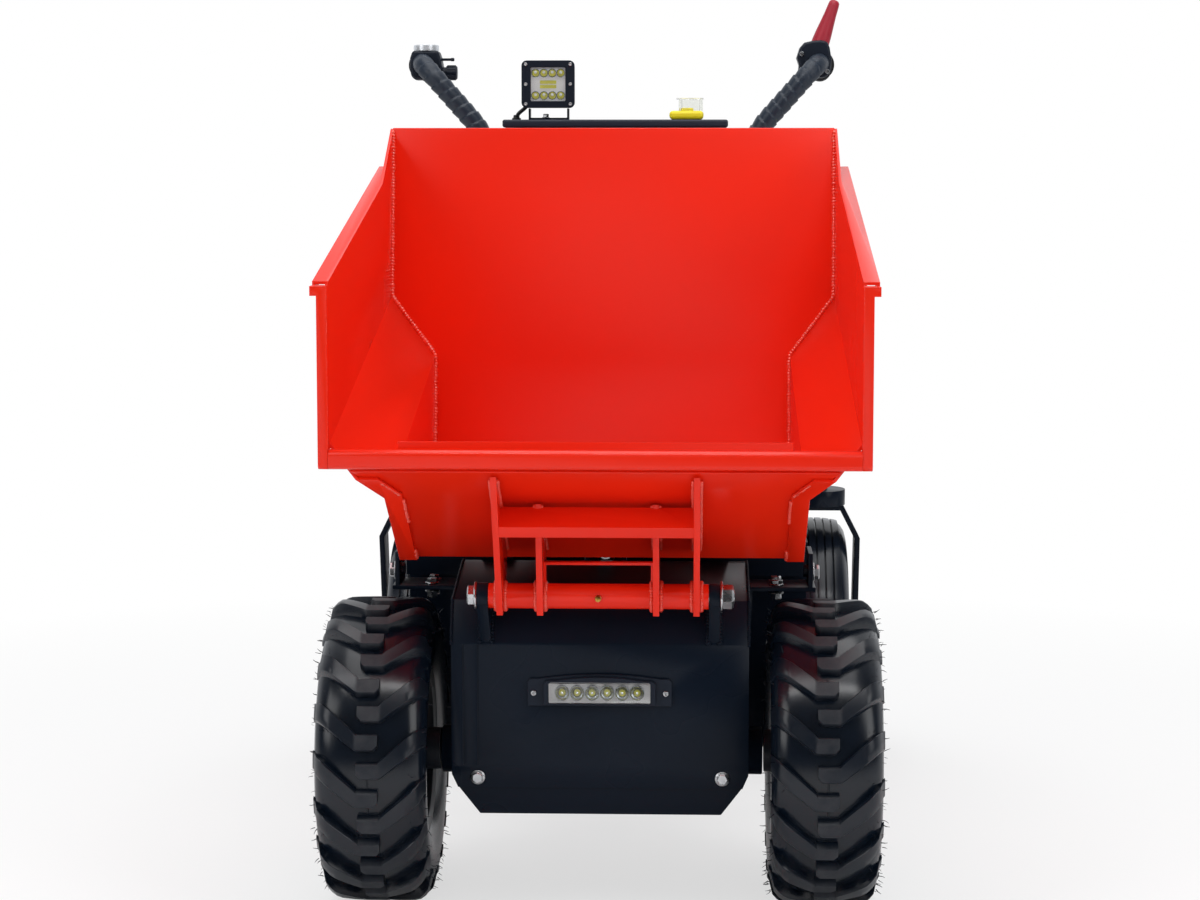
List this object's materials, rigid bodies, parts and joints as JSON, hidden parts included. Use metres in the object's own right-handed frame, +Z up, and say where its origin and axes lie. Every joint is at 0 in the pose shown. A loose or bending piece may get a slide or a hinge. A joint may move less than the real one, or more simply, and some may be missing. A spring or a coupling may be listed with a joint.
{
  "type": "walk-behind electric site dumper",
  "caption": "Walk-behind electric site dumper with a front-tipping steel bucket, driven lug tyres in front, swivel casters behind and raised handlebars.",
  "frame": {"origin": "on the ground under the middle of the machine's box", "axes": "-Y towards the bucket's lip, +X towards the operator's left hand, +Z up"},
  "size_m": [0.796, 1.342, 1.2445],
  "materials": {
    "red_paint": "gloss orange-red enamel on welded steel sheet",
    "black_paint": "semi-gloss blue-black powder coat",
    "rim_paint": "black painted steel wheel",
    "zinc": "zinc-plated fasteners",
    "chrome_rod": "bright plated piston rod",
    "tyre_rubber": "dusty black tyre rubber",
    "grip_rubber": "moulded black grip rubber",
    "bar_wrap": "black spiral cable wrap over a steel bar",
    "red_rubber": "crimson rubber lever sleeve",
    "lead_rubber": "black lamp lead",
    "black_plastic": "moulded black nylon",
    "clear_plastic": "clear polycarbonate",
    "yellow_plastic": "yellow moulded switch base",
    "battery_case": "dark grey battery case",
    "gauge_bezel": "bright plated gauge rim"
  },
  "bodies": {
    "chassis": {"front_fascia": "black_paint", "front_box": "black_paint", "skid_plate": "black_paint", "drive_axle": "black_paint", "pivot_bolt": "zinc", "light_bar_body": "black_plastic", "light_bar_lens": "clear_plastic", "main_frame": "black_paint", "bucket_rest_left": "black_paint", "bucket_rest_right": "black_paint", "console_box": "black_paint", "console_lid": "black_paint", "battery_pack": "battery_case", "work_lamp_bracket": "black_paint", "work_lamp_body": "black_plastic", "work_lamp_lens": "clear_plastic", "work_lamp_lead": "lead_rubber", "switch_base": "yellow_plastic", "switch_cover": "clear_plastic", "handlebar_left": "bar_wrap", "handlebar_right": "bar_wrap", "grip_left": "grip_rubber", "grip_right": "grip_rubber", "brake_clamp": "black_plastic", "brake_lever": "red_rubber", "throttle_housing": "black_plastic", "charge_gauge": "gauge_bezel"},
    "bucket": {"bucket_floor": "red_paint", "bucket_side_left": "red_paint", "bucket_side_right": "red_paint", "bucket_lip": "red_paint", "pivot_frame": "red_paint", "lift_lug": "red_paint"},
    "lift_cylinder": {"lift_barrel": "black_paint"},
    "lift_piston": {"lift_rod": "chrome_rod"},
    "front_wheel_left": {"front_tyre_left": "tyre_rubber", "front_rim_left": "rim_paint"},
    "front_wheel_right": {"front_tyre_right": "tyre_rubber", "front_rim_right": "rim_paint"},
    "caster_left": {"caster_fork_left": "black_paint"},
    "caster_right": {"caster_fork_right": "black_paint"},
    "caster_wheel_left": {"caster_tyre_left": "tyre_rubber", "caster_rim_left": "rim_paint"},
    "caster_wheel_right": {"caster_tyre_right": "tyre_rubber", "caster_rim_right": "rim_paint"}
  },
  "joints": [
    {"name": "bucket_tip", "type": "hinge", "parent": "chassis", "child": "bucket", "pos_m": [0, -0.524, 0.434], "axis": [1, 0, 0], "range_deg": [0, 65]},
    {"name": "lift_swing", "type": "hinge", "parent": "chassis", "child": "lift_cylinder", "pos_m": [0, 0.066, 0.262], "axis": [1, 0, 0], "range_deg": [-8.5, 0.5]},
    {"name": "lift_extend", "type": "slide", "parent": "lift_cylinder", "child": "lift_piston", "axis": [0, -0.8606, 0.5092], "range_m": [0, 0.263]},
    {"name": "front_wheel_left_roll", "type": "hinge", "parent": "chassis", "child": "front_wheel_left", "pos_m": [0.294, -0.384, 0.203], "axis": [1, 0, 0], "continuous": true},
    {"name": "front_wheel_right_roll", "type": "hinge", "parent": "chassis", "child": "front_wheel_right", "pos_m": [-0.294, -0.384, 0.203], "axis": [1, 0, 0], "continuous": true},
    {"name": "caster_left_swivel", "type": "hinge", "parent": "chassis", "child": "caster_left", "pos_m": [0.32, 0.411, 0.45], "axis": [0, 0, 1], "continuous": true},
    {"name": "caster_right_swivel", "type": "hinge", "parent": "chassis", "child": "caster_right", "pos_m": [-0.32, 0.411, 0.45], "axis": [0, 0, 1], "continuous": true},
    {"name": "caster_wheel_left_roll", "type": "hinge", "parent": "caster_left", "child": "caster_wheel_left", "pos_m": [0.32, 0.471, 0.2], "axis": [1, 0, 0], "continuous": true},
    {"name": "caster_wheel_right_roll", "type": "hinge", "parent": "caster_right", "child": "caster_wheel_right", "pos_m": [-0.32, 0.471, 0.2], "axis": [1, 0, 0], "continuous": true}
  ],
  "couplings": [
    {"joint": "lift_swing", "follows": "bucket_tip", "ratio": -0.12917},
    {"joint": "lift_extend", "follows": "bucket_tip", "m_per_rad": 0.23108}
  ]
}
